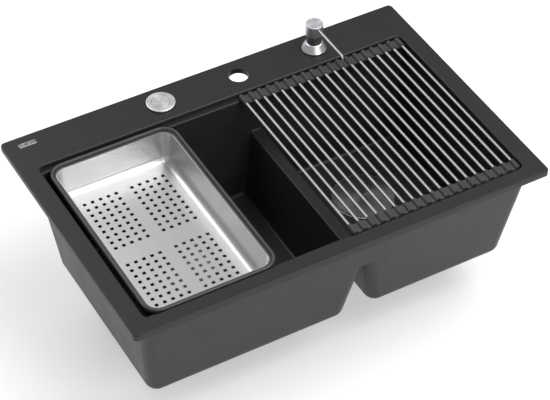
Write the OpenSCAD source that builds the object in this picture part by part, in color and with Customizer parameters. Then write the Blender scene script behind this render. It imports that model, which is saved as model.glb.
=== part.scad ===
// Workstation kitchen sink: a two-bowl composite sink with a wide back deck, two wastes,
// a remote control for the left plug, a built-in soap dispenser, a sliding colander
// tray and a roll-up drying mat. Millimetres, +Z up, X along the front, +Y to the back.
// The origin is the middle of the deck, in the plane of the worktop the rim rests on.

/* [Deck] */
// Width of the deck, left to right
deck_w = 760; // [720:5:860]
// Depth of the deck, front to back
deck_d = 500; // [490:5:540]
// Thickness of the deck at its outer edge
deck_t = 11; // [10:0.5:14]
// Corner radius of the deck, seen from above
deck_corner_r = 8; // [4:1:16]
// Rounding of the top edge of the deck
deck_edge_r = 2; // [1:0.5:3]
// How far the seating lip stands out below the deck
seat_lip_h = 1; // [0.5:0.5:2]
// Width of the seating lip along the outer edge
seat_lip_w = 8; // [6:1:12]

/* [Opening and ledges] */
// Rim between the deck edge and the opening, left and right
rim_side = 32; // [28:1:36]
// Rim in front of the opening
rim_front = 28; // [24:1:30]
// Rim behind the opening, where the deck holes are
rim_back = 82; // [80:1:90]
// Corner radius of the opening
open_corner_r = 12; // [8:1:16]
// Rounding of the top edge of the opening
open_edge_r = 3; // [1.5:0.5:4]
// Width of the front and back ledge
ledge_w = 10; // [9.5:0.5:11]
// Depth of the ledges below the deck top
ledge_drop = 9; // [8:0.5:10]
// Rounding of the inner edge of a ledge
ledge_edge_r = 2.2; // [1:0.2:3]

/* [Bowls] */
// Depth of the bowls below the deck top
bowl_depth = 200; // [180:5:230]
// Thickness of the bowl walls
wall = 10; // [8:0.5:10.5]
// Thickness of the bowl floor
floor_t = 11; // [9:1:14]
// Draft angle of the bowl walls
draft = 7; // [5:0.5:8]
// Corner radius of the bowls at the ledge
bowl_corner_r = 9; // [8:0.5:14]
// Radius between the bowl walls and the floor
floor_r = 7; // [5:0.5:8]
// Radius of the outer vertical corners, at the top
outer_corner_r = 18; // [14:1:24]
// Radius of the outer bottom edges
outer_floor_r = 22; // [16:1:25]
// Middle of the divider, from the middle of the deck
divider_x = 50; // [20:5:70]
// Width of the top of the divider
divider_w = 22; // [21:0.5:26]
// How far the top of the divider lies below the deck top
divider_drop = 78; // [70:1:95]
// Draft angle of the two faces of the divider
divider_draft = 10; // [8:0.5:12]
// Rounding of the top edges of the divider
divider_edge_r = 3; // [1.5:0.5:6]
// Radius between the top of the divider and the front and back walls
divider_end_r = 3; // [2:0.5:5]
// How far the front wall runs down in one piece before the bowls part
apron_h = 83; // [75:1:100]

/* [Deck holes] */
// Diameter of the three holes in the deck
hole_d = 35; // [34.5:0.1:36]
// Place of the tap hole from the middle of the deck
tap_x = 50; // [40:1:60]
// Distance between neighbouring holes
hole_pitch = 150; // [140:1:155]
// Distance of the holes from the back edge of the deck
hole_from_back = 40; // [40:1:42]

/* [Wastes] */
// Place of the left waste from the middle of the deck
left_waste_x = -160; // [-180:1:-120]
// Place of the right waste from the middle of the deck
right_waste_x = 195; // [185:1:215]
// Distance of both wastes behind the middle of the deck
waste_y = 25; // [-20:1:30]
// Diameter of the hole in the bowl floor
outlet_d = 90; // [89.5:0.1:91]
// Diameter of the steel flange in the bowl floor
flange_d = 113; // [111:0.5:114]
// Thickness of the steel flange
flange_t = 2; // [1.5:0.1:2.5]
// Thickness of the seal under the flange
flange_seal_t = 1; // [0.8:0.1:1.5]
// Sheet thickness of the strainer cup and the basket
strainer_t = 1.2; // [1:0.1:1.5]
// Depth of the strainer cup below the floor
cup_depth = 40; // [38:1:46]
// Gap round the strainer cup in the hole
cup_gap = 1; // [0.6:0.1:1.5]
// Diameter of the plug cover
cover_d = 106; // [102:0.5:108]
// Thickness of the plug cover at its middle
cover_t = 3; // [2.5:0.1:4]
// Thickness of the plug cover at its edge
cover_edge_t = 1.2; // [0.8:0.1:1.6]
// Thickness of the gasket below the floor
gasket_t = 3; // [2:0.5:4]
// Outer diameter of the waste body's collar
waste_collar_d = 112; // [110:1:116]
// Wall of the plastic waste body
waste_wall = 3.4; // [3:0.1:4]
// Outer diameter of the outlet pipe
pipe_d = 47.8; // [47:0.1:48.5]
// Length of the outlet pipe
pipe_len = 26; // [22:1:32]
// Diameter of the clamping screw
screw_d = 8; // [7.5:0.5:9]
// Diameter of the lift pin in the left waste
lift_pin_d = 4; // [3.6:0.1:4.4]
// Diameter of a cable gland
gland_d = 10; // [9:0.5:10]
// Length of a cable gland
gland_len = 15; // [12:1:18]

/* [Remote control] */
// Diameter of the rosette on the deck
rosette_d = 51; // [48:0.5:56]
// Height of the rosette above its seal
rosette_h = 3.6; // [3:0.1:5]
// Diameter of the push button
button_d = 31.2; // [30:0.2:31.4]
// Stroke of the push button
button_stroke = 6; // [4:0.5:6]
// Outer diameter of the threaded shank
shank_d = 33.8; // [33.6:0.1:34.2]
// How far the shank reaches below the deck
shank_below = 22; // [18:1:30]
// Thickness of a seal on the deck
deck_seal_t = 1; // [0.6:0.1:1.5]
// Width across flats of the two nuts under the deck
nut_flats = 42; // [40:1:44]
// Height of the two nuts under the deck
nut_h = 9; // [7:1:11]

/* [Soap dispenser] */
// Diameter of the foot of the base
base_d = 45; // [42:0.5:48]
// Height of the cone of the base
base_cone_h = 13; // [11:0.5:15]
// Outer diameter of the neck the head slides over
neck_d = 27; // [26:0.5:27.4]
// Height of the neck above its foot
neck_h = 31; // [30:0.5:33]
// Outer diameter of the threaded shank of the base
soap_shank_d = 26.4; // [26:0.1:27]
// Diameter of the head
head_d = 31; // [29.5:0.5:32]
// Height of the head
head_h = 22; // [21:0.5:25]
// Stroke of the pump
pump_stroke = 13; // [10:0.5:13]
// Reach of the spout from the axis of the pump
spout_reach = 95; // [80:1:98]
// Outer diameter of the spout
spout_d = 4.5; // [4:0.1:5]
// Diameter of the pump cylinder
pump_d = 18.8; // [17.8:0.2:19]
// Diameter of the pump rod
rod_d = 8; // [7:0.2:8.4]
// Diameter of the bottle
bottle_d = 56; // [50:1:60]
// Height of the bottle below its neck
bottle_h = 125; // [100:1:140]
// Wall of the bottle
bottle_wall = 2; // [1.5:0.1:2.5]

/* [Colander] */
// Gap between the black rim and the left side of the opening
colander_side_gap = 9; // [5:1:16]
// Width of the black rim, left to right
colander_w = 234; // [220:1:236]
// Gap between the black rim and the front and back of the opening
colander_gap = 5; // [4:0.5:5]
// Corner radius of the black rim
colander_corner_r = 30; // [26:1:34]
// Width of the rim's face, bead and shelf together
rim_face_w = 9.5; // [9:0.5:10.5]
// Height of the bead above the ledge
bead_h = 6; // [5.5:0.5:8]
// Width of the bead
bead_w = 6; // [5:0.5:6.5]
// Height of the shelf inside the bead above the ledge
shelf_h = 1.8; // [1.7:0.1:2.4]
// Width of the steel edge that shows inside the shelf
steel_edge_w = 1; // [0.6:0.1:1.5]
// Sheet thickness of the steel tray
tray_t = 0.8; // [0.7:0.1:1]
// Depth of the tray below the ledge
tray_depth = 55; // [45:1:60]
// Draft angle of the tray walls
tray_draft = 7; // [5:0.5:9]
// Radius between the tray walls and its floor
tray_floor_r = 12; // [8:1:14]
// Side of one square hole
tray_hole = 6; // [5:0.5:7]
// Distance between holes
tray_pitch = 14.5; // [13:0.5:15]
// Columns of holes on each side of the plain middle strip
tray_cols = 5; // [3:1:5]
// Rows of holes before and behind the plain middle strip
tray_rows = 9; // [5:1:9]

/* [Drying mat] */
// Number of rods
mat_rods_n = 19; // [12:1:19]
// Distance between rods
mat_pitch = 17.25; // [15:0.25:17.25]
// Gap between the mat and the right side of the opening
mat_side_gap = 4; // [3:0.5:6]
// Diameter of the steel rods
mat_rod_d = 5; // [4.5:0.5:6]
// Diameter of the silicone tube round a rod
grip_d = 9; // [8.5:0.5:9]
// Length of a silicone strip along the rods
grip_len = 20.5; // [16:0.5:24]
// Thickness of the silicone web between the tubes
web_t = 3; // [2:0.5:3.5]
// Gap between the strips and the front and back of the opening
mat_gap = 4.25; // [3.5:0.25:5]
// Number of rods at the left end that roll up
roll_n = 4; // [4:1:4]

/* [Clearances] */
// Gap below a soft part that rests on a ledge
soft_gap = 0.3; // [0.2:0.05:0.4]
// Radial gap of a shaft that turns or slides in its bore
running_gap = 0.05; // [0.03:0.01:0.08]
// Radial gap of threads and loose fits
loose_gap = 0.15; // [0.1:0.05:0.2]
// Radial gap between a plug's seal and its seat
plug_gap = 0.5; // [0.45:0.05:0.7]
// Radial gap round the push button
button_gap = 0.4; // [0.3:0.05:0.5]

/* [Hidden] */
$fn = 64;

// Facets of the rounded corners that the drafted bowls are stretched over
corner_fn = 32;
// Steps of the shallow arcs of the domed covers and the dished button
arc_steps = 8;
// Small overlap that makes one cut run into the next
eps = 0.5;
// How far a bowl's block stands outside the outline that trims it
trim = 0.05;

// Heights
top_z = deck_t;
under_z = seat_lip_h;
ledge_z = top_z - ledge_drop;
floor_z = top_z - bowl_depth;
base_z = floor_z - floor_t;
divider_z = top_z - divider_drop;
apron_z = top_z - apron_h;

// Outline of the opening and of the bowls at the ledge and at the floor
open_x = deck_w / 2 - rim_side;
open_y0 = -deck_d / 2 + rim_front;
open_y1 = deck_d / 2 - rim_back;
flare = tan(draft) * (ledge_z - floor_z);
ledge_line = [-open_x, open_y0 + ledge_w, open_x, open_y1 - ledge_w];
floor_line = grow(ledge_line, -flare);
outer_top_line = grow([-open_x, open_y0, open_x, open_y1], wall);
outer_base_line = grow(floor_line, wall);

// Faces of the divider
divider_left_x = divider_x - divider_w / 2;
divider_right_x = divider_x + divider_w / 2;

// Deck holes
hole_y = deck_d / 2 - hole_from_back;
control_x = tap_x - hole_pitch;
soap_x = tap_x + hole_pitch;

// Wastes, heights measured from the floor of the bowl
cup_r = outlet_d / 2 - cup_gap;
recess_t = flange_t + flange_seal_t;
cup_bottom = -cup_depth - strainer_t;
seat_h = 4;
seat_w = 3.2;
plug_lift = 0.4;
gasket_bottom = -floor_t - gasket_t;
collar_t = 6;
waste_r = outlet_d / 2 + 1;
waste_floor = cup_bottom - 10;
cone_h = 14;
pipe_top = waste_floor - cone_h;
pipe_bottom = pipe_top - pipe_len;
boss_r = 9;
boss_bottom = waste_floor - 10;
screw_head_h = 4;
screw_head_r = 8;
screw_top = -cup_depth + screw_head_h;
basket_r = cup_r - strainer_t - 2.8;
basket_bottom = screw_top + 2;
slot_w = 2;
slot_depth = 1.6;
gland_z = (cup_bottom + waste_floor) / 2;
gland_nut_h = 6;
gland_nut_r = 7;
cable_r = 1.4;

// Remote control, heights measured from the worktop plane
rosette_z = top_z + deck_seal_t;
rosette_top = rosette_z + rosette_h;
button_t = 3;
button_dish = 0.5;
ring_edge = 0.4;
button_well = rosette_top - button_t - button_stroke - 1.4;
shank_bottom = under_z - shank_below;
cartridge_top = under_z - 3;
cartridge_bottom = shank_bottom - 12;
cartridge_foot = cartridge_bottom - 6;
cartridge_foot_d = 16;
cartridge_d = 24.6;
stem_d = 10;
stem_bottom = cartridge_top - 2;
stem_play = 4;
control_spring_r = 9.4;
control_wire = 1.3;

// Soap dispenser, heights measured from the worktop plane
soap_z = top_z + deck_seal_t;
neck_top = soap_z + neck_h;
pump_flange_t = 1.2;
pump_top = neck_top + pump_flange_t;
head_z = neck_top + 1;
head_top = head_z + head_h;
head_roof = pump_top + pump_stroke + 0.4;
spout_z = head_top - 5;
soap_shank_bottom = under_z - 40;
pump_bottom = under_z - 20;
pump_bore = pump_d - 4.8;
nipple_r = 3;
nipple_len = 12;
pump_collar_z = pump_top - 5;
piston_top = pump_collar_z - soft_gap;
piston_h = 8;
ball_d = 6;
ball_port_r = 1.2;
ball_seat = pump_bottom + 2;
ball_chamber_top = ball_seat + ball_d + 1.5;
bottle_neck_top = under_z - nut_h - 3;
bottle_neck_h = 30;
bottle_top = bottle_neck_top - bottle_neck_h;
bottle_bottom = bottle_top - bottle_h;
groove_t = 0.8;
soap_spring_r = pump_bore / 2 - 1;
soap_wire = 0.9;
tube_wall = 1;
tube_gap = 6;
base_foot_h = 1.4;
base_step = 1.6;
spout_wall = 0.8;
spout_bend = 6;
spout_tip = 3;

// Colander, heights measured from the ledge
rim_w = colander_w / 2;
colander_x = -open_x + colander_side_gap + rim_w;
colander_y = (open_y0 + open_y1) / 2;
rim_l = (open_y1 - open_y0) / 2 - colander_gap;
rim_line = [-rim_w, -rim_l, rim_w, rim_l];
lip_h = 4;
lip_in = rim_face_w - 3;
slot_in = rim_face_w - 2;
tray_line = grow(rim_line, -rim_face_w - steel_edge_w);
tray_base_line = grow(tray_line, -tan(tray_draft) * tray_depth);

// Drying mat
mat_y0 = open_y0 + mat_gap;
mat_y1 = open_y1 - mat_gap;
rod_z = ledge_z + soft_gap + grip_d / 2;
last_rod_x = open_x - mat_side_gap - grip_d / 2;
first_rod_x = last_rod_x - (mat_rods_n - 1) * mat_pitch;
rod_end = 5;

// Outline [x0, y0, x1, y1] grown by d on every side
function grow(o, d) = [o[0] - d, o[1] - d, o[2] + d, o[3] + d];
// Place of rod i, counted from the left
function rod_x(i) = first_rod_x + i * mat_pitch;
// Distance from a corner to the centre of a round of radius r that touches both faces
function round_shift(lean, r) = r * (1 - sin(lean)) / cos(lean);
// Half profile of a shallow dome, from its edge at radius r and height z to its middle
function dome_points(r, z, rise) = let (sphere_r = (r * r + rise * rise) / (2 * abs(rise)))
    [for (k = [arc_steps:-1:0]) let (x = r * k / arc_steps)
        [x, z + rise + sign(rise) * (sqrt(sphere_r * sphere_r - x * x) - sphere_r)]];
// Outline of the outside of the bowls at height z
function outer_at(z) = let (t = (under_z - z) / (under_z - base_z))
    [for (k = [0:3]) outer_top_line[k] + t * (outer_base_line[k] - outer_top_line[k])];
// Outline of the inside of the bowls at height z
function inner_at(z) = grow(ledge_line, -tan(draft) * (ledge_z - z));

// Rectangle with round corners
module rounded_rect(o, r) {
    translate([o[0] + r, o[1]]) square([o[2] - o[0] - 2 * r, o[3] - o[1]]);
    translate([o[0], o[1] + r]) square([o[2] - o[0], o[3] - o[1] - 2 * r]);
    for (x = [o[0] + r, o[2] - r], y = [o[1] + r, o[3] - r])
        translate([x, y]) circle(r);
}

// Sweeps a profile along a rounded rectangle; the profile's x points outwards from it
module swept(o, r) {
    w = o[2] - o[0] - 2 * r;
    l = o[3] - o[1] - 2 * r;
    starts = [[o[2], o[3] - r], [o[0] + r, o[3]], [o[0], o[1] + r], [o[2] - r, o[1]]];
    centres = [[o[2] - r, o[3] - r], [o[0] + r, o[3] - r], [o[0] + r, o[1] + r], [o[2] - r, o[1] + r]];
    for (k = [0:3]) {
        translate(starts[k]) rotate([0, 0, 90 * k]) rotate([90, 0, 0])
            linear_extrude(k % 2 == 0 ? l : w) children();
        translate(centres[k]) rotate([0, 0, 90 * k])
            rotate_extrude(angle = 90) translate([r, 0]) children();
    }
}

// Profile of a cut that rounds the edge between a level top and a face that leans outwards.
// It clears everything up to the height clear_h over the top.
module edge_profile(r, lean, clear_h = 1) {
    shift = round_shift(lean, r);
    low = -r * (1 - sin(lean));
    difference() {
        translate([-2 - r, low]) square([2 + r + shift, clear_h - low]);
        translate([shift, -r]) circle(r);
    }
}

// Block with drafted walls, round vertical corners and a rounded lower edge
module drafted(top, z_top, r_top, base, z_base, r_base) {
    rise = z_top - z_base;
    x0 = base[0] + round_shift(atan((base[0] - top[0]) / rise), r_base);
    y0 = base[1] + round_shift(atan((base[1] - top[1]) / rise), r_base);
    x1 = base[2] - round_shift(atan((top[2] - base[2]) / rise), r_base);
    y1 = base[3] - round_shift(atan((top[3] - base[3]) / rise), r_base);
    hull() {
        for (x = [top[0] + r_top, top[2] - r_top], y = [top[1] + r_top, top[3] - r_top])
            translate([x, y, z_top]) cylinder(h = eps, r = r_top, $fn = corner_fn);
        for (x = [x0, x1], y = [y0, y1])
            translate([x, y, z_base + r_base]) sphere(r_base, $fn = corner_fn);
    }
}

// Flat ring
module ring(r_out, r_in, z0, z1) {
    difference() {
        translate([0, 0, z0]) cylinder(h = z1 - z0, r = r_out);
        translate([0, 0, z0 - 1]) cylinder(h = z1 - z0 + 2, r = r_in);
    }
}

// Six-sided nut with a round hole
module hex_nut(flats, bore_r, z0, h) {
    difference() {
        translate([0, 0, z0]) cylinder(h = h, r = flats / 2 / cos(30), $fn = 6);
        translate([0, 0, z0 - 1]) cylinder(h = h + 2, r = bore_r);
    }
}

// Coil spring with flat-lying ends, swept from rings of six points
module coil(r, wire, z0, z1, turns) {
    steps = 16;
    sides = 6;
    count = turns * steps;
    points = [for (i = [0:count], k = [0:sides - 1]) let (
        a = 360 * i / steps,
        b = 360 * k / sides,
        d = r + wire / 2 * cos(b),
        z = z0 + wire / 2 + (z1 - z0 - wire) * i / count + wire / 2 * sin(b))
        [d * cos(a), d * sin(a), z]];
    sides_faces = [for (i = [0:count - 1], k = [0:sides - 1]) let (
        a = i * sides + k,
        b = i * sides + (k + 1) % sides)
        [a, a + sides, b + sides, b]];
    start_face = [for (k = [0:sides - 1]) k];
    end_face = [for (k = [sides - 1:-1:0]) count * sides + k];
    polyhedron(points, concat([start_face], sides_faces, [end_face]));
}

// Everything that fills the inside of the two bowls and the space above the divider
module bowl_space() {
    lean = tan(divider_draft) * (divider_z - floor_z);
    far = open_x + 20;
    top = grow(ledge_line, trim);
    base = grow(floor_line, trim);
    over = grow(ledge_line, 2 * trim);
    over_base = grow(inner_at(divider_z), 2 * trim);
    run = tan(divider_draft) * (ledge_z - divider_z);
    intersection() {
        drafted(ledge_line, ledge_z, bowl_corner_r, floor_line, floor_z, floor_r);
        union() {
            drafted([-far, over[1], far, over[3]], ledge_z, bowl_corner_r,
                [-far, over_base[1], far, over_base[3]], divider_z, divider_end_r);
            drafted([-far, top[1], divider_left_x + run, top[3]], ledge_z, bowl_corner_r,
                [-far, base[1], divider_left_x - lean, base[3]], floor_z - trim, floor_r);
            drafted([divider_right_x - run, top[1], far, top[3]], ledge_z, bowl_corner_r,
                [divider_right_x + lean, base[1], far, base[3]], floor_z - trim, floor_r);
        }
    }
}

// Outside of the two bowls, in one piece down to the apron line
module bowl_outside() {
    lean = tan(divider_draft) * (divider_z - base_z) - wall;
    far = open_x + wall + 20;
    z = apron_z + 2;
    run = tan(divider_draft) * (divider_z - z) - wall;
    top = grow(outer_at(z), trim);
    base = grow(outer_base_line, trim);
    intersection() {
        drafted(outer_top_line, under_z, outer_corner_r, outer_base_line, base_z, outer_floor_r);
        union() {
            translate([-far, -deck_d / 2, apron_z]) cube([2 * far, deck_d, apron_h]);
            drafted([-far, top[1], divider_left_x - run, top[3]], z, outer_corner_r,
                [-far, base[1], divider_left_x - lean, base[3]], base_z - trim, outer_floor_r);
            drafted([divider_right_x + run, top[1], far, top[3]], z, outer_corner_r,
                [divider_right_x + lean, base[1], far, base[3]], base_z - trim, outer_floor_r);
        }
    }
}

// Deck plate with its seating lip
module deck_plate() {
    outline = [-deck_w / 2, -deck_d / 2, deck_w / 2, deck_d / 2];
    difference() {
        linear_extrude(top_z) rounded_rect(outline, deck_corner_r);
        translate([0, 0, -1]) linear_extrude(under_z + 1)
            rounded_rect(grow(outline, -seat_lip_w), deck_corner_r - 2);
        translate([0, 0, top_z]) swept(outline, deck_corner_r)
            mirror([1, 0]) edge_profile(deck_edge_r, 0);
    }
}

module sink_body() color("#434343") {
    opening = [-open_x, open_y0, open_x, open_y1];
    difference() {
        union() {
            deck_plate();
            bowl_outside();
        }
        bowl_space();
        translate([0, 0, ledge_z]) linear_extrude(ledge_drop + 1)
            rounded_rect(opening, open_corner_r);
        translate([0, 0, top_z]) swept(opening, open_corner_r) edge_profile(open_edge_r, 0);
        // Rounded inner edges of the two ledges
        translate([-open_x, ledge_line[1], ledge_z]) rotate([90, 0, 90])
            linear_extrude(2 * open_x) mirror([1, 0]) edge_profile(ledge_edge_r, draft);
        translate([-open_x, ledge_line[3], ledge_z]) rotate([90, 0, 90])
            linear_extrude(2 * open_x) edge_profile(ledge_edge_r, draft);
        // Rounded top edges of the divider
        line = inner_at(divider_z);
        translate([divider_left_x, line[3], divider_z]) rotate([90, 0, 0])
            linear_extrude(line[3] - line[1])
                edge_profile(divider_edge_r, divider_draft, divider_end_r + 1);
        translate([divider_right_x, line[3], divider_z]) rotate([90, 0, 0])
            linear_extrude(line[3] - line[1]) mirror([1, 0])
                edge_profile(divider_edge_r, divider_draft, divider_end_r + 1);
        for (x = [control_x, tap_x, soap_x])
            translate([x, hole_y, -1]) cylinder(h = deck_t + 2, d = hole_d);
        for (x = [left_waste_x, right_waste_x]) {
            translate([x, waste_y, base_z - 1]) cylinder(h = floor_t + 2, d = outlet_d);
            translate([x, waste_y, floor_z - recess_t]) cylinder(h = recess_t + 1, d = flange_d + 1);
        }
    }
}

// Places a piece of a waste in the floor of its bowl
module at_waste(x) {
    translate([x, waste_y, floor_z]) children();
}

module strainer_flange() color("#9a9a9a") {
    bore = screw_d / 2 + loose_gap;
    difference() {
        rotate_extrude() polygon([
            [bore, cup_bottom], [cup_r, cup_bottom], [cup_r, -flange_t],
            [flange_d / 2, -flange_t], [flange_d / 2, -flange_t / 4], [flange_d / 2 - flange_t / 2, 0],
            [cup_r - strainer_t + seat_w, 0], [cup_r - strainer_t, -seat_h],
            [cup_r - strainer_t, -cup_depth], [bore, -cup_depth]]);
        for (a = [0:45:315])
            rotate([0, 0, a]) translate([cup_r * 0.62, 0, cup_bottom - 1])
                cylinder(h = strainer_t + 2, r = 7);
    }
}

module flange_seal() color("#202020")
    ring(flange_d / 2 - 0.5, outlet_d / 2 + 1, -recess_t, -flange_t);

module waste_gasket() color("#202020")
    ring(waste_collar_d / 2, waste_r, gasket_bottom, -floor_t);

module waste_body() color("#2a2a2a") {
    pipe_r = pipe_d / 2;
    outer_r = waste_r + waste_wall;
    rib_z = boss_bottom + 3;
    rib_top = waste_floor + 0.7;
    difference() {
        union() {
            rotate_extrude() polygon([
                [waste_r, gasket_bottom], [waste_collar_d / 2, gasket_bottom],
                [waste_collar_d / 2, gasket_bottom - collar_t], [outer_r, gasket_bottom - collar_t],
                [outer_r, waste_floor], [pipe_r, pipe_top], [pipe_r, pipe_bottom],
                [pipe_r - waste_wall, pipe_bottom], [pipe_r - waste_wall, pipe_top + 2],
                [waste_r, waste_floor + 2]]);
            translate([0, 0, boss_bottom]) cylinder(h = cup_bottom - boss_bottom, r = boss_r);
            // Three ribs that carry the boss
            for (a = [30:120:270])
                rotate([90, 0, a]) translate([0, 0, -1.5]) linear_extrude(3) polygon([
                    [0, rib_z], [pipe_r + 9, rib_z], [waste_r + 1, rib_top], [0, rib_top]]);
        }
        translate([0, 0, boss_bottom - 1]) cylinder(h = 40, r = screw_d / 2 + running_gap);
    }
}

module clamp_screw(bore_r) color("#b5b5b5") {
    difference() {
        union() {
            translate([0, 0, -cup_depth]) cylinder(h = screw_head_h, r = screw_head_r);
            translate([0, 0, boss_bottom + 2]) cylinder(h = -cup_depth - boss_bottom, d = screw_d);
        }
        // Bore for the lift pin, or a slot for a screwdriver
        if (bore_r > 0)
            translate([0, 0, boss_bottom]) cylinder(h = screw_top - boss_bottom + 1, r = bore_r);
        else
            translate([-slot_w / 2, -screw_head_r - 1, screw_top - slot_depth])
                cube([slot_w, 2 * screw_head_r + 2, slot_depth + 1]);
    }
}

module plug_cover() color("#8a8a8a") {
    r = cover_d / 2;
    rotate_extrude() {
        polygon(concat([[0, 0], [r, 0]], dome_points(r, cover_edge_t, cover_t - cover_edge_t)));
        translate([0, basket_bottom + strainer_t]) square([5, -basket_bottom]);
    }
}

module plug_seal() color("#1c1c1c") {
    r = cup_r - strainer_t - plug_gap;
    rotate_extrude() polygon([
        [basket_r - 6, 0], [r + seat_w, 0], [r + seat_w * plug_lift / seat_h, -seat_h + plug_lift],
        [basket_r - 6, -seat_h + plug_lift]]);
}

module basket() color("#a8a8a8") {
    inner = basket_r - strainer_t;
    top = -seat_h + plug_lift;
    difference() {
        rotate_extrude() polygon([
            [0, basket_bottom], [basket_r - 4, basket_bottom], [basket_r, basket_bottom + 4],
            [basket_r, top], [basket_r - 6, top], [basket_r - 6, top - strainer_t],
            [inner, top - strainer_t], [inner, basket_bottom + 4.6],
            [inner - 3.4, basket_bottom + strainer_t], [0, basket_bottom + strainer_t]]);
        for (a = [0:30:330])
            rotate([0, 0, a]) translate([basket_r - 4, -2.5, basket_bottom + 6])
                cube([8, 5, 18]);
        for (a = [0:30:330])
            rotate([0, 0, a]) translate([basket_r * 0.62, 0, basket_bottom - 1])
                cylinder(h = strainer_t + 2, r = 3.5);
    }
}

module lift_pin() color("#c4c4c4")
    translate([0, 0, boss_bottom - 6])
        cylinder(h = basket_bottom - boss_bottom + 6, d = lift_pin_d);

// Cable gland that stands on z = 0, bored for a thin cable
module cable_gland() color("#303030") {
    difference() {
        union() {
            cylinder(h = gland_len, d = gland_d);
            cylinder(h = gland_nut_h, r = gland_nut_r, $fn = 6);
        }
        translate([0, 0, -1]) cylinder(h = gland_len + 2, r = cable_r);
    }
}

// Places a piece in one of the deck holes
module at_hole(x) {
    translate([x, hole_y, 0]) children();
}

module deck_seal(r) color("#202020")
    ring(r, hole_d / 2 + 0.1, top_z, top_z + deck_seal_t);

module rosette() color("#cfcfcf") {
    r = rosette_d / 2;
    well_r = button_d / 2 + button_gap;
    edge = rosette_h / 2;
    bore = cartridge_d / 2 + running_gap;
    rotate_extrude() difference() {
        union() {
            translate([0, rosette_z]) square([r, rosette_h - edge]);
            translate([0, rosette_z]) square([r - edge, rosette_h]);
            translate([r - edge, rosette_top - edge]) circle(edge);
            translate([0, shank_bottom]) square([shank_d / 2, rosette_z - shank_bottom + 1]);
        }
        polygon([
            [0, button_well], [well_r, button_well], [well_r, rosette_top - ring_edge],
            [well_r + ring_edge, rosette_top], [well_r + ring_edge, rosette_top + 1],
            [0, rosette_top + 1]]);
        translate([0, shank_bottom - 1]) square([bore, rosette_top - shank_bottom + 2]);
    }
}

module button() color("#d2d2d2") {
    r = button_d / 2;
    bottom = rosette_top - button_t;
    rotate_extrude() {
        polygon(concat([[0, bottom], [r, bottom], [r, rosette_top - ring_edge]],
            dome_points(r - ring_edge, rosette_top, -button_dish)));
        translate([0, stem_bottom]) square([stem_d / 2, rosette_top - button_t - stem_bottom + eps]);
    }
}

module cartridge() color("#2a2a2a") {
    well = stem_bottom - button_stroke - stem_play;
    difference() {
        union() {
            translate([0, 0, cartridge_bottom])
                cylinder(h = cartridge_top - cartridge_bottom, d = cartridge_d);
            translate([0, 0, cartridge_foot])
                cylinder(h = cartridge_top - cartridge_foot, d = cartridge_foot_d);
        }
        translate([0, 0, well]) cylinder(h = cartridge_top - well + 1, r = stem_d / 2 + running_gap);
        translate([0, 0, cartridge_foot - 1]) cylinder(h = cartridge_top - cartridge_foot, r = cable_r);
    }
}

module soap_base() color("#c8c8c8") {
    bore = pump_d / 2 + loose_gap;
    rotate_extrude() polygon([
        [bore, soap_shank_bottom], [soap_shank_d / 2, soap_shank_bottom], [soap_shank_d / 2, soap_z],
        [base_d / 2, soap_z], [base_d / 2, soap_z + base_foot_h],
        [neck_d / 2 + base_step, soap_z + base_cone_h],
        [neck_d / 2, soap_z + base_cone_h + 1], [neck_d / 2, neck_top], [bore, neck_top]]);
}

module soap_pump() color("#e4e4e4") {
    r = pump_d / 2;
    bore = pump_bore / 2;
    chamber_r = ball_d / 2 + 0.4;
    rotate_extrude() polygon([
        [ball_port_r, pump_bottom - nipple_len], [nipple_r, pump_bottom - nipple_len],
        [nipple_r, pump_bottom],
        [r, pump_bottom], [r, neck_top], [r + 2, neck_top], [r + 2, pump_top], [bore, pump_top],
        [bore, ball_chamber_top], [chamber_r, ball_chamber_top], [chamber_r, ball_seat + 0.5],
        [ball_port_r, ball_seat]]);
}

module pump_collar() color("#d8d8d8")
    ring(pump_bore / 2 - running_gap, rod_d / 2 + running_gap, pump_collar_z, pump_top);

// The ball stands on the edge of the port, a running gap above it
module valve_ball() color("#b0b0b0") {
    r = ball_d / 2;
    translate([0, 0, ball_seat + sqrt(r * r - ball_port_r * ball_port_r) + running_gap]) sphere(r);
}

module soap_stem() color("#dcdcdc") {
    difference() {
        union() {
            translate([0, 0, piston_top - piston_h]) cylinder(h = piston_h, r = pump_bore / 2 - running_gap);
            translate([0, 0, piston_top - 1]) cylinder(h = spout_z + 2.6 - piston_top, d = rod_d);
        }
        // Bore for the soap, with four outlets level with the spout
        translate([0, 0, piston_top - piston_h - 1])
            cylinder(h = spout_z - piston_top + piston_h + 1, r = 1.5);
        for (a = [0, 90])
            translate([0, 0, spout_z]) rotate([90, 0, a]) cylinder(h = rod_d + 2, r = 1.1, center = true);
    }
}

module soap_head() color("#c0c0c0") {
    r = head_d / 2;
    edge = 1.2;
    difference() {
        rotate_extrude() {
            translate([0, head_z]) square([r - edge, head_h]);
            translate([0, head_z]) square([r, head_h - edge]);
            translate([r - edge, head_top - edge]) circle(edge);
        }
        translate([0, 0, head_z - 1]) cylinder(h = head_roof - head_z + 1, r = neck_d / 2 + 0.4);
        translate([0, 0, head_roof - 1]) cylinder(h = spout_z + 2.7 - head_roof, r = rod_d / 2 + running_gap);
        // Groove that carries the soap round the rod to the spout
        translate([0, 0, spout_z - 1.5]) cylinder(h = 3, r = rod_d / 2 + groove_t);
        translate([0, 0, spout_z]) rotate([90, 0, 0]) cylinder(h = r + 1, r = spout_d / 2 + running_gap);
    }
}

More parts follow.
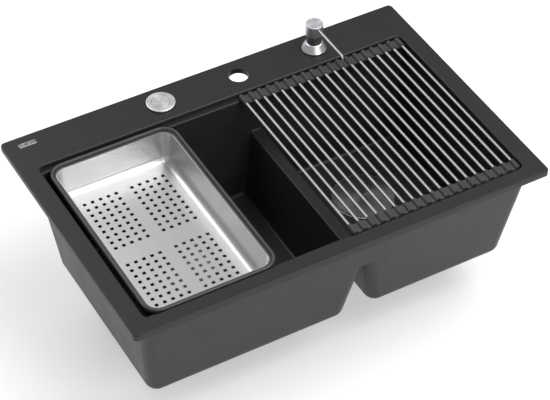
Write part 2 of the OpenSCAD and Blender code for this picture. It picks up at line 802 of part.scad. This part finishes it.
module soap_spout() color("#d0d0d0") {
    r = spout_d / 2;
    bore = r - spout_wall;
    start = rod_d / 2 + groove_t;
    straight = spout_reach - spout_bend - start;
    translate([0, -start, spout_z]) rotate([90, 0, 0]) difference() {
        cylinder(h = straight, r = r);
        translate([0, 0, -1]) cylinder(h = straight + 2, r = bore);
    }
    translate([0, -start - straight, spout_z - spout_bend]) rotate([90, 0, -90])
        rotate_extrude(angle = 90) translate([spout_bend, 0]) difference() {
            circle(r);
            circle(bore);
        }
    translate([0, -spout_reach, spout_z - spout_bend - spout_tip]) difference() {
        cylinder(h = spout_tip, r = r);
        translate([0, 0, -1]) cylinder(h = spout_tip + 2, r = bore);
    }
}

module soap_bottle() color("#e8e8e8") {
    r = bottle_d / 2;
    neck_in = soap_shank_d / 2 + loose_gap;
    neck_out = neck_in + 3;
    round_r = 6;
    inner_r = round_r - bottle_wall;
    rotate_extrude() difference() {
        union() {
            translate([0, bottle_bottom]) square([r - round_r, bottle_h]);
            translate([0, bottle_bottom + round_r]) square([r, bottle_h - 2 * round_r]);
            for (z = [bottle_bottom + round_r, bottle_top - round_r])
                translate([r - round_r, z]) circle(round_r);
            translate([0, bottle_top - 1]) square([neck_out, bottle_neck_h + 1]);
        }
        translate([0, bottle_bottom + bottle_wall])
            square([r - round_r, bottle_h - 2 * bottle_wall]);
        translate([0, bottle_bottom + round_r])
            square([r - bottle_wall, bottle_h - 2 * round_r]);
        for (z = [bottle_bottom + round_r, bottle_top - round_r])
            translate([r - round_r, z]) circle(inner_r);
        translate([0, bottle_top - bottle_wall - 1]) square([neck_in, bottle_neck_h + bottle_wall + 2]);
        translate([-r - 1, bottle_bottom - 1]) square([r + 1, bottle_h + bottle_neck_h + 2]);
    }
}

module dip_tube() color("#f0f0f0") {
    bore = nipple_r + running_gap;
    top = pump_bottom - 1;
    bottom = bottle_bottom + bottle_wall + tube_gap;
    translate([0, 0, bottom]) difference() {
        cylinder(h = top - bottom, r = bore + tube_wall);
        translate([0, 0, -1]) cylinder(h = top - bottom + 2, r = bore);
    }
}

// Profile of the black rim; x is 0 at its outer edge, y is 0 on the ledge
module rim_profile() {
    difference() {
        union() {
            translate([-bead_w, 0]) square([bead_w, bead_h - bead_w / 2]);
            translate([-bead_w / 2, bead_h - bead_w / 2]) circle(bead_w / 2);
            translate([-rim_face_w, 0]) square([rim_face_w - bead_w + 0.5, shelf_h]);
            translate([-rim_face_w, -lip_h]) square([rim_face_w - lip_in, lip_h + 0.5]);
        }
        // Slot that grips the turned-out edge of the tray
        translate([-rim_face_w - 1, -running_gap])
            square([rim_face_w - slot_in + 1, tray_t + 2 * running_gap]);
    }
}

module colander_rim() color("#3a3a3a")
    translate([colander_x, colander_y, ledge_z])
        swept(rim_line, colander_corner_r) rim_profile();

module colander_tray() color("#d9d9d9") {
    corner = colander_corner_r - rim_face_w - steel_edge_w;
    inner_line = grow(tray_line, -tray_t);
    inner_base = grow(tray_base_line, -tray_t);
    block_gap_x = tray_pitch;
    block_gap_y = 1.5 * tray_pitch;
    translate([colander_x, colander_y, ledge_z]) difference() {
        union() {
            drafted(tray_line, tray_t - eps, corner, tray_base_line,
                -tray_depth - tray_t, tray_floor_r + tray_t);
            linear_extrude(tray_t)
                rounded_rect(grow(rim_line, -slot_in - 0.1), colander_corner_r - slot_in - 0.1);
        }
        drafted(inner_line, tray_t, corner - tray_t, inner_base, -tray_depth, tray_floor_r);
        // Four blocks of square holes round a plain cross
        for (sx = [-1, 1], sy = [-1, 1], i = [0:tray_cols - 1], j = [0:tray_rows - 1])
            translate([sx * (block_gap_x + i * tray_pitch) - tray_hole / 2,
                sy * (block_gap_y + j * tray_pitch) - tray_hole / 2, -tray_depth - 4])
                cube([tray_hole, tray_hole, 8]);
    }
}

// Silicone strips over rods i0 to i1, from x0 to x1, at the front and the back
module grips(i0, i1, x0, x1) color("#555555") {
    for (y = [mat_y0, mat_y1 - grip_len])
        difference() {
            union() {
                for (i = [i0:i1])
                    translate([rod_x(i), y, rod_z]) rotate([-90, 0, 0])
                        cylinder(h = grip_len, d = grip_d);
                translate([x0, y, rod_z - web_t]) cube([x1 - x0, grip_len, web_t]);
            }
            for (i = [i0:i1])
                translate([rod_x(i), y == mat_y0 ? y + rod_end : y - 1, rod_z]) rotate([-90, 0, 0])
                    cylinder(h = grip_len + 1 - rod_end, r = mat_rod_d / 2 + running_gap);
        }
}

// Steel rods i0 to i1
module rods(i0, i1) color("#dcdcdc") {
    y0 = mat_y0 + rod_end;
    y1 = mat_y1 - rod_end;
    for (i = [i0:i1])
        translate([rod_x(i), y0, rod_z]) rotate([-90, 0, 0]) cylinder(h = y1 - y0, d = mat_rod_d);
}

// Right edge of the stretch of strip that belongs to rod i
function fold_x(i) = rod_x(i) + mat_pitch / 2;

module roll_grip(i)
    grips(i, i, i == 0 ? rod_x(0) : fold_x(i - 1), fold_x(i));

sink_body();

at_waste(left_waste_x) strainer_flange();  // left_strainer_flange
at_waste(left_waste_x) flange_seal();  // left_flange_seal
at_waste(left_waste_x) waste_gasket();  // left_waste_gasket
at_waste(left_waste_x) waste_body();  // left_waste_body
at_waste(left_waste_x) clamp_screw(lift_pin_d / 2 + running_gap);  // left_clamp_screw
at_waste(left_waste_x) plug_cover();  // left_plug_cover
at_waste(left_waste_x) plug_seal();  // left_plug_seal
at_waste(left_waste_x) basket();  // left_basket
at_waste(left_waste_x) lift_pin();  // left_lift_pin
at_waste(left_waste_x) translate([0, waste_r + waste_wall, gland_z]) rotate([-90, 0, 0]) cable_gland();  // left_cable_gland

at_waste(right_waste_x) strainer_flange();  // right_strainer_flange
at_waste(right_waste_x) flange_seal();  // right_flange_seal
at_waste(right_waste_x) waste_gasket();  // right_waste_gasket
at_waste(right_waste_x) waste_body();  // right_waste_body
at_waste(right_waste_x) clamp_screw(0);  // right_clamp_screw
at_waste(right_waste_x) plug_cover();  // right_plug_cover
at_waste(right_waste_x) plug_seal();  // right_plug_seal
at_waste(right_waste_x) basket();  // right_basket

at_hole(control_x) rosette();  // control_rosette
at_hole(control_x) button();  // control_button
at_hole(control_x) color("#b8b8b8")  // control_spring
    coil(control_spring_r, control_wire, cartridge_top, rosette_top - button_t, 4);
at_hole(control_x) cartridge();  // control_cartridge
at_hole(control_x) deck_seal(rosette_d / 2 - 1.5);  // control_seal
at_hole(control_x) color("#303030")  // control_nut
    hex_nut(nut_flats, shank_d / 2 + loose_gap, under_z - nut_h, nut_h);
at_hole(control_x) translate([0, 0, cartridge_foot]) mirror([0, 0, 1]) cable_gland();  // control_gland

at_hole(soap_x) soap_base();
at_hole(soap_x) deck_seal(base_d / 2 - 1);  // soap_seal
at_hole(soap_x) color("#303030")  // soap_nut
    hex_nut(nut_flats, soap_shank_d / 2 + loose_gap, under_z - nut_h, nut_h);
at_hole(soap_x) soap_pump();
at_hole(soap_x) pump_collar();  // soap_pump_collar
at_hole(soap_x) valve_ball();  // soap_valve_ball
at_hole(soap_x) soap_stem();
at_hole(soap_x) color("#b8b8b8")  // soap_spring
    coil(soap_spring_r, soap_wire, ball_chamber_top, piston_top - piston_h, 8);
at_hole(soap_x) soap_head();
at_hole(soap_x) soap_spout();
at_hole(soap_x) soap_bottle();
at_hole(soap_x) dip_tube();  // soap_dip_tube

colander_rim();
colander_tray();

rods(roll_n, mat_rods_n - 1);  // mat_rods
grips(roll_n, mat_rods_n - 1, fold_x(roll_n - 1), last_rod_x);  // mat_grips
rods(0, 0);  // roll_rod_1
roll_grip(0);  // roll_grip_1
rods(1, 1);  // roll_rod_2
roll_grip(1);  // roll_grip_2
rods(2, 2);  // roll_rod_3
roll_grip(2);  // roll_grip_3
rods(3, 3);  // roll_rod_4
roll_grip(3);  // roll_grip_4
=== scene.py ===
"""Workstation kitchen sink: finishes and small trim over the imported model. Metres, +Z up.

The origin is the middle of the deck, in the plane of the worktop that the rim rests on.
"""
import math

import bmesh
import bpy
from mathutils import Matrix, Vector


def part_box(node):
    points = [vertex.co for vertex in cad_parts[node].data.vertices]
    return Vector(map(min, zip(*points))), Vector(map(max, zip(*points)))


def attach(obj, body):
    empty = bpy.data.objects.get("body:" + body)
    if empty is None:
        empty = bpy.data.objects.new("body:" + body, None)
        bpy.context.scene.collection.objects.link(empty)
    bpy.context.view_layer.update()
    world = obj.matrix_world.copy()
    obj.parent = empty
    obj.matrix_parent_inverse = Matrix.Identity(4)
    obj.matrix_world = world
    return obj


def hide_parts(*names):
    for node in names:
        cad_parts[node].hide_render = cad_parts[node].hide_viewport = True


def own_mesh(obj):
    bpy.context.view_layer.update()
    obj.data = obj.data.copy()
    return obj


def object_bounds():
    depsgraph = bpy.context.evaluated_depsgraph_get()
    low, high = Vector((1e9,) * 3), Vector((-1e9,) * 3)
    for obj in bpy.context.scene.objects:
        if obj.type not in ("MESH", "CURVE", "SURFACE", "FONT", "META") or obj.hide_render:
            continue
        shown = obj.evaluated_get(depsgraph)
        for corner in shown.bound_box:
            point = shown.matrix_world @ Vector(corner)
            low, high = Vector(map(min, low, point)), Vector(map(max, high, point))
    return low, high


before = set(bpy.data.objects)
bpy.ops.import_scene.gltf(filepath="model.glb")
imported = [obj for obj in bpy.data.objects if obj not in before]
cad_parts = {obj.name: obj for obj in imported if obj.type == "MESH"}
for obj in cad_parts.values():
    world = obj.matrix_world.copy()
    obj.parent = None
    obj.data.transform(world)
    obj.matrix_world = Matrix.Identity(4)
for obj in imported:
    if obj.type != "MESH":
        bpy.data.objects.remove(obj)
cad_low, cad_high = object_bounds()
deck_low, deck_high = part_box("sink_body")

MM = 0.001

# The photograph's frame and the camera that was worked out from the deck's edges and holes
PHOTO_W = 550
FOCAL_PX = 2121.5
CAMERA_PLACE = Vector((-1.26095, -2.24716, 2.37164))
CAMERA_AZIMUTH = -29.371
CAMERA_ELEVATION = 43.657
SENSOR_W = 36.0

# Bare plate: its size, its place from the deck's left and back edges, and the rounding of its top edge
PLATE_W = 31 * MM
PLATE_L = 9.5 * MM
PLATE_T = 0.7 * MM
PLATE_FROM_LEFT = 40.5 * MM
PLATE_FROM_BACK = 22.8 * MM
PLATE_EDGE = 0.35 * MM
# Its brushed border, and where the slope down to the etched pocket ends
PLATE_BORDER = 1.1 * MM
POCKET_INSET = 1.265 * MM
POCKET_DEPTH = 0.2 * MM
# The etched field in the pocket
FIELD_CORNER = 0.5 * MM
FIELD_T = 0.15 * MM
FIELD_BELOW_TOP = 0.15 * MM

# G1 1/2 thread of the two outlets
OUTLET_R = 23.9 * MM
OUTLET_THREAD_L = 18 * MM
OUTLET_PITCH = 2.3 * MM
OUTLET_RIDGE = 0.9 * MM
# Fine thread of the two shanks under the deck
CONTROL_SHANK_R = 16.9 * MM
SOAP_SHANK_R = 13.2 * MM
SHANK_PITCH = 1.5 * MM
SHANK_RIDGE = 0.5 * MM
# A thread starts and ends this far from the pin's end and from the nut
THREAD_MARGIN = 1 * MM
THREAD_STEPS = 48
# Half widths of a ridge's foot and crest, as shares of the pitch
FOOT_SHARE = 0.42
CREST_SHARE = 0.08
# How deep the foot is sunk in the pin, and the least height of the crest over it
FOOT_SUNK = 0.05 * MM
CREST_LEAST = 0.02 * MM

# The floor reaches this far on each side, this far below the lowest point
FLOOR_REACH = 30.0
FLOOR_GAP = 0.5 * MM


# Shaders

# Most values of a noise lie between these
NOISE_LOW = 0.3
NOISE_HIGH = 0.7


def linear(code):
    """A colour such as "#434343", in sRGB, as linear red, green, blue and alpha."""
    parts = [int(code[k:k + 2], 16) / 255 for k in (1, 3, 5)]
    return [c / 12.92 if c <= 0.04045 else ((c + 0.055) / 1.055) ** 2.4 for c in parts] + [1.0]


def feed(tree, node, inputs):
    """Sets or links a node's inputs, by name or by number."""
    for name, value in inputs.items():
        if isinstance(value, bpy.types.NodeSocket):
            tree.links.new(value, node.inputs[name])
        else:
            node.inputs[name].default_value = value


def add(tree, kind, inputs=None, **settings):
    """A new node of that kind, with its settings, and its inputs set or linked."""
    made = tree.nodes.new(kind)
    for name, value in settings.items():
        setattr(made, name, value)
    feed(tree, made, inputs or {})
    return made


def start(name):
    """A material of that name, its node tree and its one shader."""
    made = bpy.data.materials.new(name)
    made.use_nodes = True
    return made, made.node_tree, made.node_tree.nodes["Principled BSDF"]


def grain(tree, size, detail=2.0, stretch=(1, 1, 1)):
    """Noise whose grains measure that many metres, longer along the axes with a stretch above 1."""
    place = add(tree, "ShaderNodeTexCoord")
    scaled = add(tree, "ShaderNodeMapping", {
        "Vector": place.outputs["Object"],
        "Scale": [1 / s for s in stretch],
    })
    made = add(tree, "ShaderNodeTexNoise", {
        "Vector": scaled.outputs["Vector"],
        "Scale": 1 / size,
        "Detail": detail,
    })
    return made.outputs["Fac"]


def quartz_composite():
    """Moulded quartz and acrylic: near-black and dull, with a fine sparkle of lighter grains.

    Real grains of about 0.3 mm are drawn 1.2 mm wide so that they show.
    """
    made, tree, shader = start("quartz_composite")
    grains = grain(tree, 1.2 * MM, detail=3)
    cloud = grain(tree, 60 * MM)
    share = add(tree, "ShaderNodeMapRange", {
        "Value": grains, "From Min": 0.48, "From Max": 0.75, "To Min": 0, "To Max": 1,
    })
    colour = add(tree, "ShaderNodeMix", {
        "Factor": share.outputs["Result"], 6: linear("#202021"), 7: linear("#373738"),
    }, data_type="RGBA")
    dullness = add(tree, "ShaderNodeMapRange", {
        "Value": cloud, "From Min": NOISE_LOW, "From Max": NOISE_HIGH, "To Min": 0.36, "To Max": 0.42,
    })
    relief = add(tree, "ShaderNodeBump", {"Height": grains, "Distance": 0.04 * MM})
    feed(tree, shader, {
        "Base Color": colour.outputs[2],
        "Roughness": dullness.outputs["Result"],
        "Specular IOR Level": 0.3,
        "Normal": relief.outputs["Normal"],
    })
    return made


def brushed_stainless(name, colour, roughness, length=30 * MM, axis=1):
    """Brushed stainless sheet: fine scratches that run along one axis and stretch the gloss.

    Real scratches, under 0.1 mm wide, are drawn 0.25 mm wide so that they show.
    """
    made, tree, shader = start(name)
    line = 0.25 * MM
    stretch = [1, 1, 1]
    stretch[axis] = length / line
    scratches = grain(tree, line, detail=3, stretch=stretch)
    gloss = add(tree, "ShaderNodeMapRange", {
        "Value": scratches, "From Min": NOISE_LOW, "From Max": NOISE_HIGH,
        "To Min": roughness - 0.04, "To Max": roughness + 0.05,
    })
    relief = add(tree, "ShaderNodeBump", {"Height": scratches, "Distance": 0.004 * MM})
    feed(tree, shader, {
        "Base Color": linear(colour),
        "Metallic": 1.0,
        "Roughness": gloss.outputs["Result"],
        "Normal": relief.outputs["Normal"],
    })
    return made


def turned_stainless(name, node, colour, roughness):
    """Stainless turned on a lathe: fine rings round the piece's own axis, with a fanned gloss.

    Real tool marks, about 0.1 mm apart, are drawn 0.4 mm apart so that they show.
    """
    made, tree, shader = start(name)
    line = 0.4 * MM
    low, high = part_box(node)
    middle = (low + high) / 2
    place = add(tree, "ShaderNodeTexCoord")
    flat = add(tree, "ShaderNodeMapping", {
        "Vector": place.outputs["Object"],
        "Location": (-middle.x, -middle.y, 0),
        "Scale": (1, 1, 0),
    })
    radius = add(tree, "ShaderNodeVectorMath", {0: flat.outputs["Vector"]}, operation="LENGTH")
    rings = add(tree, "ShaderNodeTexNoise", {
        "W": radius.outputs["Value"], "Scale": 1 / line, "Detail": 2.0,
    }, noise_dimensions="1D")
    gloss = add(tree, "ShaderNodeMapRange", {
        "Value": rings.outputs["Fac"], "From Min": NOISE_LOW, "From Max": NOISE_HIGH,
        "To Min": roughness - 0.04, "To Max": roughness + 0.06,
    })
    fan = add(tree, "ShaderNodeTangent", axis="Z", direction_type="RADIAL")
    relief = add(tree, "ShaderNodeBump", {"Height": rings.outputs["Fac"], "Distance": 0.003 * MM})
    feed(tree, shader, {
        "Base Color": linear(colour),
        "Metallic": 1.0,
        "Roughness": gloss.outputs["Result"],
        "Anisotropic": 0.6,
        "Tangent": fan.outputs["Tangent"],
        "Normal": relief.outputs["Normal"],
    })
    return made


def moulded(name, dark, light, roughness, depth=0.02 * MM, clouds=20 * MM, **more):
    """A moulded plastic, rubber or silicone: an eroded mould face and a slight uneven tone.

    The mould face's real pits, about 0.1 mm wide, are drawn 0.8 mm wide so that they show.
    """
    made, tree, shader = start(name)
    face = grain(tree, 0.8 * MM, detail=2)
    tone = grain(tree, clouds, detail=3)
    share = add(tree, "ShaderNodeMapRange", {
        "Value": tone, "From Min": 0.35, "From Max": 0.65, "To Min": 0, "To Max": 1,
    })
    colour = add(tree, "ShaderNodeMix", {
        "Factor": share.outputs["Result"], 6: linear(dark), 7: linear(light),
    }, data_type="RGBA")
    gloss = add(tree, "ShaderNodeMapRange", {
        "Value": face, "From Min": NOISE_LOW, "From Max": NOISE_HIGH,
        "To Min": roughness - 0.04, "To Max": roughness + 0.04,
    })
    relief = add(tree, "ShaderNodeBump", {"Height": face, "Distance": depth})
    feed(tree, shader, {
        "Base Color": colour.outputs[2],
        "Roughness": gloss.outputs["Result"],
        "Normal": relief.outputs["Normal"],
        **more,
    })
    return made


def milky(share, depth):
    """Light goes that deep into a milky plastic, and equally deep in all its colours."""
    return {
        "Subsurface Weight": share,
        "Subsurface Scale": depth,
        "Subsurface Radius": (1.0, 1.0, 1.0),
    }


def paint(material, *nodes):
    """That finish on those CAD nodes."""
    for name in nodes:
        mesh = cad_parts[name].data
        mesh.materials.clear()
        mesh.materials.append(material)


def both(*names):
    """The left and the right waste's node of each name."""
    return [side + "_" + name for name in names for side in ("left", "right")]


composite = quartz_composite()
paint(composite, "sink_body")

# Drawn sheet with a satin finish: soft broad highlights along the rounded corners
tray_steel = brushed_stainless("satin_stainless_sheet", "#cccccc", 0.36, length=20 * MM)
paint(tray_steel, "colander_tray")
# Drawn rod: one soft bright line along each rod, with greyer sides
rod_steel = brushed_stainless("drawn_stainless_rod", "#b6b6b8", 0.45, length=60 * MM)
paint(rod_steel, "mat_rods", *[f"roll_rod_{k}" for k in range(1, 5)])
# Pressed sheet, less even and darker than the visible fittings
waste_steel = brushed_stainless("pressed_stainless", "#a4a4a6", 0.34, length=8 * MM)
paint(waste_steel, *both("strainer_flange", "clamp_screw", "basket"), "left_lift_pin")
# Drawn wire: bright, with fine lines along its length
wire = brushed_stainless("drawn_spring_wire", "#b8b8ba", 0.25, length=10 * MM)
paint(wire, "control_spring", "soap_spring", "soap_valve_ball")
# Drawn tube: a narrow highlight from end to end
spout_steel = brushed_stainless("drawn_stainless_tube", "#b4b4b6", 0.36)
paint(spout_steel, "soap_spout")
# Turned caps, cones and discs: the gloss fans out from the middle
for part, tone, gloss in (
    ("control_rosette", "#e2e2e4", 0.34),
    ("control_button", "#e4e4e6", 0.34),
    ("soap_base", "#c4c4c8", 0.3),
    ("soap_head", "#dadade", 0.42),
    ("left_plug_cover", "#8c8c8e", 0.34),
    ("right_plug_cover", "#8c8c8e", 0.34),
):
    paint(turned_stainless("turned_stainless_" + part, part, tone, gloss), part)

# Silicone rubber from a mould: dull, dark grey and almost even
silicone = moulded("moulded_silicone", "#303031", "#383839", 0.62)
paint(silicone, "mat_grips", *[f"roll_grip_{k}" for k in range(1, 5)])
# ABS with a satin mould face: a soft sheen on the rim's bead
rim_plastic = moulded("satin_abs", "#343435", "#3b3b3c", 0.42, depth=0.008 * MM)
paint(rim_plastic, "colander_rim")
# Rubber seals: black and dull
rubber = moulded("moulded_rubber", "#1a1a1a", "#242424", 0.6)
paint(rubber, *both("flange_seal", "waste_gasket", "plug_seal"), "control_seal", "soap_seal")
# Black polypropylene of the wastes, nuts and glands: a dim waxy gloss
black_plastic = moulded("moulded_polypropylene", "#1c1c1d", "#28282a", 0.45)
paint(black_plastic, *both("waste_body"), "left_cable_gland", "control_gland", "control_cartridge",
      "control_nut", "soap_nut")
# Undyed polypropylene: milky, with light passing a few millimetres into it
pump_plastic = moulded("natural_polypropylene", "#d8d8d2", "#e6e6e0", 0.38, **milky(0.2, 3 * MM))
paint(pump_plastic, "soap_pump", "soap_pump_collar", "soap_stem", "soap_dip_tube")
# Blown polyethylene: milky, duller and softer than the pump
bottle_plastic = moulded("blown_polyethylene", "#dcdcd6", "#e8e8e2", 0.42, clouds=40 * MM,
                         **milky(0.3, 5 * MM))
paint(bottle_plastic, "soap_bottle")


# Meshes

def piece(name, points, faces, material, body, slot):
    """A named mesh piece with that material, which rides on a body."""
    mesh = bpy.data.meshes.new(name)
    mesh.from_pydata([tuple(p) for p in points], [], faces)
    shape = bmesh.new()
    shape.from_mesh(mesh)
    bmesh.ops.recalc_face_normals(shape, faces=shape.faces)
    shape.to_mesh(mesh)
    shape.free()
    mesh.materials.append(material)
    made = bpy.data.objects.new(name, mesh)
    bpy.context.scene.collection.objects.link(made)
    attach(made, body)
    return made


def loft(rings):
    """Points and faces of a solid through rings of equally many points, with a cap at each end."""
    count = len(rings[0])
    points = [p for ring in rings for p in ring]
    faces = []
    for k in range(len(rings) - 1):
        a, b = k * count, (k + 1) * count
        for i in range(count):
            j = (i + 1) % count
            faces.append((a + i, a + j, b + j, b + i))
    faces.append(tuple(reversed(range(count))))
    faces.append(tuple(range(len(points) - count, len(points))))
    return points, faces


def rounded_ring(centre, w, l, r, z, steps=6):
    """The outline of a rounded rectangle at height z, as points."""
    ring = []
    for k, (sx, sy) in enumerate(((1, 1), (-1, 1), (-1, -1), (1, -1))):
        for i in range(steps + 1):
            a = math.radians(90 * (k + i / steps))
            x = centre.x + sx * (w / 2 - r) + r * math.cos(a)
            y = centre.y + sy * (l / 2 - r) + r * math.sin(a)
            ring.append(Vector((x, y, z)))
    return ring


def plate_rings(*levels):
    """Rings round the plate's middle, each from its inset, its corner and its height over the deck."""
    middle = Vector((deck_low.x + PLATE_FROM_LEFT, deck_high.y - PLATE_FROM_BACK, 0))
    return [
        rounded_ring(middle, PLATE_W - 2 * inset, PLATE_L - 2 * inset, corner, deck_high.z + rise)
        for inset, corner, rise in levels
    ]


# The bare plate at the back left of the deck: a brushed border round a pocket
plate_steel = brushed_stainless("brushed_plate_steel", "#b0b0b2", 0.3, axis=0, length=8 * MM)
border_rings = plate_rings(
    (0, 1.2 * MM, 0),
    (0, 1.2 * MM, PLATE_T - PLATE_EDGE),
    (PLATE_EDGE, 1.0 * MM, PLATE_T),
    (PLATE_BORDER, 0.6 * MM, PLATE_T),
    (POCKET_INSET, FIELD_CORNER, PLATE_T - POCKET_DEPTH),
)
piece("bare_plate", *loft(border_rings), plate_steel, "sink", "brushed_steel")
# Its etched field: mottled and darker than the border
field_steel = moulded("etched_steel", "#4a4a4b", "#a2a2a4", 0.45, clouds=2.5 * MM, Metallic=1.0)
field_rings = plate_rings(
    (POCKET_INSET, FIELD_CORNER, PLATE_T - FIELD_BELOW_TOP - FIELD_T),
    (POCKET_INSET, FIELD_CORNER, PLATE_T - FIELD_BELOW_TOP),
)
piece("plate_field", *loft(field_rings), field_steel, "sink", "brushed_steel")


def closing_coil(name, node, body):
    """A coil in the place of the CAD spring, on a body; the CAD spring is hidden."""
    made = bpy.data.objects.new(name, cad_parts[node].data.copy())
    bpy.context.scene.collection.objects.link(made)
    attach(made, body)
    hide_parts(node)
    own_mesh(made)


for name, node, joint in (
    ("control_coil", "control_spring", "button_press"),
    ("soap_coil", "soap_spring", "pump_press"),
):
    closing_coil(name, node, "sink")


def thread(name, node, radius, top, pitch, ridge, material, slot):
    """A screw thread's ridge, from the lower end of a node's pin up to a height.

    It is one long swept ridge that fades at both ends.
    """
    low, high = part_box(node)
    middle = Vector(((low.x + high.x) / 2, (low.y + high.y) / 2, 0))
    bottom = low.z + THREAD_MARGIN
    steps = int((top - bottom - pitch) / pitch * THREAD_STEPS)
    fade = THREAD_STEPS / 2
    rings = []
    for k in range(steps + 1):
        a = 2 * math.pi * k / THREAD_STEPS
        z = bottom + pitch / 2 + pitch * k / THREAD_STEPS
        tall = ridge * min(1, k / fade, (steps - k) / fade) + CREST_LEAST
        out = Vector((math.cos(a), math.sin(a), 0))
        root = middle + out * (radius - FOOT_SUNK) + Vector((0, 0, z))
        crest = middle + out * (radius + tall) + Vector((0, 0, z))
        half = Vector((0, 0, pitch * FOOT_SHARE))
        tip = Vector((0, 0, pitch * CREST_SHARE))
        rings.append([root - half, crest - tip, crest + tip, root + half])
    made = piece(name, *loft(rings), material, "sink", slot)
    for face in made.data.polygons:
        face.use_smooth = True


for side in ("left", "right"):
    waste = side + "_waste_body"
    outlet_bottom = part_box(waste)[0].z
    thread(side + "_outlet_thread", waste, OUTLET_R, outlet_bottom + THREAD_MARGIN + OUTLET_THREAD_L,
           OUTLET_PITCH, OUTLET_RIDGE, black_plastic, "black_plastic")
for name, node, nut, radius in (
    ("control", "control_rosette", "control_nut", CONTROL_SHANK_R),
    ("soap", "soap_base", "soap_nut", SOAP_SHANK_R),
):
    nut_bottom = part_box(nut)[0].z
    thread(name + "_shank_thread", node, radius, nut_bottom - THREAD_MARGIN,
           SHANK_PITCH, SHANK_RIDGE, spout_steel, "brushed_steel")


# Studio

def plain_floor():
    """A pale matte floor under the lowest point."""
    z = cad_low.z - FLOOR_GAP
    corners = [(sx * FLOOR_REACH, sy * FLOOR_REACH, z) for sx, sy in ((-1, -1), (1, -1), (1, 1), (-1, 1))]
    mesh = bpy.data.meshes.new("floor")
    mesh.from_pydata(corners, [], [(0, 1, 2, 3)])
    made, tree, shader = start("pale_floor")
    feed(tree, shader, {
        "Base Color": linear("#e2e2e2"), "Roughness": 0.9, "Specular IOR Level": 0.1,
        "Emission Color": linear("#ffffff"), "Emission Strength": 0.36,
    })
    mesh.materials.append(made)
    floor = bpy.data.objects.new("floor", mesh)
    bpy.context.scene.collection.objects.link(floor)


def area_light(name, place, aim, width, height, power):
    """A soft box at a place, turned to a point."""
    data = bpy.data.lights.new(name, "AREA")
    data.shape = "RECTANGLE"
    data.size = width
    data.size_y = height
    data.energy = power
    made = bpy.data.objects.new(name, data)
    made.location = place
    made.rotation_euler = (Vector(aim) - Vector(place)).to_track_quat("-Z", "Y").to_euler()
    bpy.context.scene.collection.objects.link(made)


def studio_world():
    """An even white surround."""
    world = bpy.data.worlds.new("studio")
    world.use_nodes = True
    tree = world.node_tree
    tree.nodes.clear()
    sky = add(tree, "ShaderNodeBackground", {"Color": linear("#ffffff"), "Strength": 0.5})
    add(tree, "ShaderNodeOutputWorld", {"Surface": sky.outputs["Background"]})
    bpy.context.scene.world = world


def photo_camera():
    """The camera at the photograph's place, with its focal length and direction."""
    data = bpy.data.cameras.new("camera")
    data.sensor_width = SENSOR_W
    data.lens = FOCAL_PX / PHOTO_W * SENSOR_W
    camera = bpy.data.objects.new("camera", data)
    azimuth, elevation = math.radians(CAMERA_AZIMUTH), math.radians(CAMERA_ELEVATION)
    towards = Vector((
        -math.sin(azimuth) * math.cos(elevation),
        math.cos(azimuth) * math.cos(elevation),
        -math.sin(elevation),
    ))
    camera.location = CAMERA_PLACE
    camera.rotation_mode = "QUATERNION"
    camera.rotation_quaternion = towards.to_track_quat("-Z", "Y")
    bpy.context.scene.collection.objects.link(camera)
    bpy.context.scene.camera = camera


plain_floor()
# Behind the deck, on the left
area_light("back_box", place=(-0.6, 1.5, 1.6), aim=(-0.2, 0.1, 0), width=1.2, height=1.2, power=14)
# The main light, above on the right
area_light("top_box", place=(1.0, -0.6, 2.3), aim=(0, 0, 0), width=2.4, height=1.8, power=50)
# Low in front, for the tray's back wall
area_light("front_box", place=(0.5, -2.6, 1.3), aim=(0, 0, 0), width=1.4, height=0.7, power=20)
studio_world()
bpy.context.scene.view_settings.view_transform = "Standard"
photo_camera()
